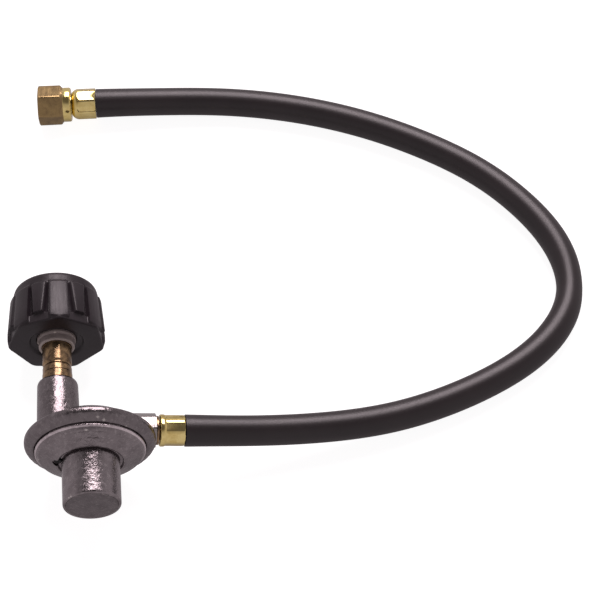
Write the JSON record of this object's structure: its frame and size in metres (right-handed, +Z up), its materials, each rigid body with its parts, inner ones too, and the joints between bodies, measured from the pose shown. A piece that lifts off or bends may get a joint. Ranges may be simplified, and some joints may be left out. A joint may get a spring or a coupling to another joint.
{
  "type": "propane regulator hose",
  "caption": "Low-pressure gas regulator with a hand nut for the tank, and a rubber hose that ends in a brass flare nut.",
  "frame": {"origin": "middle of the regulator and nut's footprint, on the surface they lie on", "axes": "+Y along the regulator's axis from the tower to the tank nut, +X the way the hose leaves, +Z up"},
  "size_m": [0.2987, 0.2717, 0.064],
  "materials": {
    "zinc": "satin die-cast zinc",
    "brass": "turned",
    "bright_brass": "bright",
    "black_plastic": "satin",
    "bushing": "satin",
    "rubber": "satin",
    "sheet_rubber": "matt",
    "steel": "plated",
    "screen": "matt"
  },
  "bodies": {
    "regulator": {"regulator_body": "zinc", "bonnet": "zinc", "tower_cap": "zinc", "vent_screen": "screen", "main_spring": "steel", "diaphragm": "sheet_rubber", "lever_pin": "steel", "orifice_seat": "brass", "inlet_nipple": "brass", "thermal_bushing": "bushing", "flow_limiter_spring": "steel", "flow_limiter_retainer": "brass", "outlet_stem": "brass", "near_ferrule": "bright_brass", "hose": "rubber", "far_ferrule": "bright_brass", "far_stem": "brass"},
    "tank_nut": {"coupling_nut": "black_plastic"},
    "appliance_nut": {"swivel_nut": "brass"},
    "diaphragm_centre": {"diaphragm_plate": "steel", "diaphragm_stem": "brass", "stem_nut": "steel"},
    "valve_lever": {"lever": "steel", "valve_disc": "sheet_rubber"},
    "spring_seat": {"spring_button": "steel"},
    "setting_screw": {"adjusting_screw": "steel"},
    "limiter_ball": {"flow_limiter_ball": "steel"}
  },
  "joints": [
    {"name": "tank_nut_spin", "type": "hinge", "parent": "regulator", "child": "tank_nut", "pos_m": [-0.019, 0.0331, 0.0246], "axis": [0, 1, 0], "continuous": true},
    {"name": "appliance_nut_spin", "type": "hinge", "parent": "regulator", "child": "appliance_nut", "pos_m": [-0.01949, 0.19693, 0.0108], "axis": [-0.9997, 0.0262, 0], "continuous": true},
    {"name": "diaphragm_travel", "type": "slide", "parent": "regulator", "child": "diaphragm_centre", "axis": [0, -1, 0], "range_m": [0, 0.0014], "deforming": ["diaphragm", "main_spring"]},
    {"name": "lever_tilt", "type": "hinge", "parent": "regulator", "child": "valve_lever", "pos_m": [-0.01452, -0.0264, 0.02671], "axis": [0.4264, 0, -0.9046], "range_deg": [0, 6.5]},
    {"name": "setting_travel", "type": "slide", "parent": "regulator", "child": "spring_seat", "axis": [0, 1, 0], "range_m": [-0.0012, 0.003], "deforming": ["main_spring"]},
    {"name": "setting_turn", "type": "hinge", "parent": "spring_seat", "child": "setting_screw", "pos_m": [-0.0033, -0.0591, 0.032], "axis": [0, 1, 0], "range_deg": [-289, 721]},
    {"name": "limiter_travel", "type": "slide", "parent": "regulator", "child": "limiter_ball", "axis": [0, -1, 0], "range_m": [0, 0.003], "deforming": ["flow_limiter_spring"]}
  ],
  "couplings": [
    {"joint": "lever_tilt", "follows": "diaphragm_travel", "rad_per_m": 80.645},
    {"joint": "setting_turn", "follows": "setting_travel", "rad_per_m": 4188.8}
  ]
}
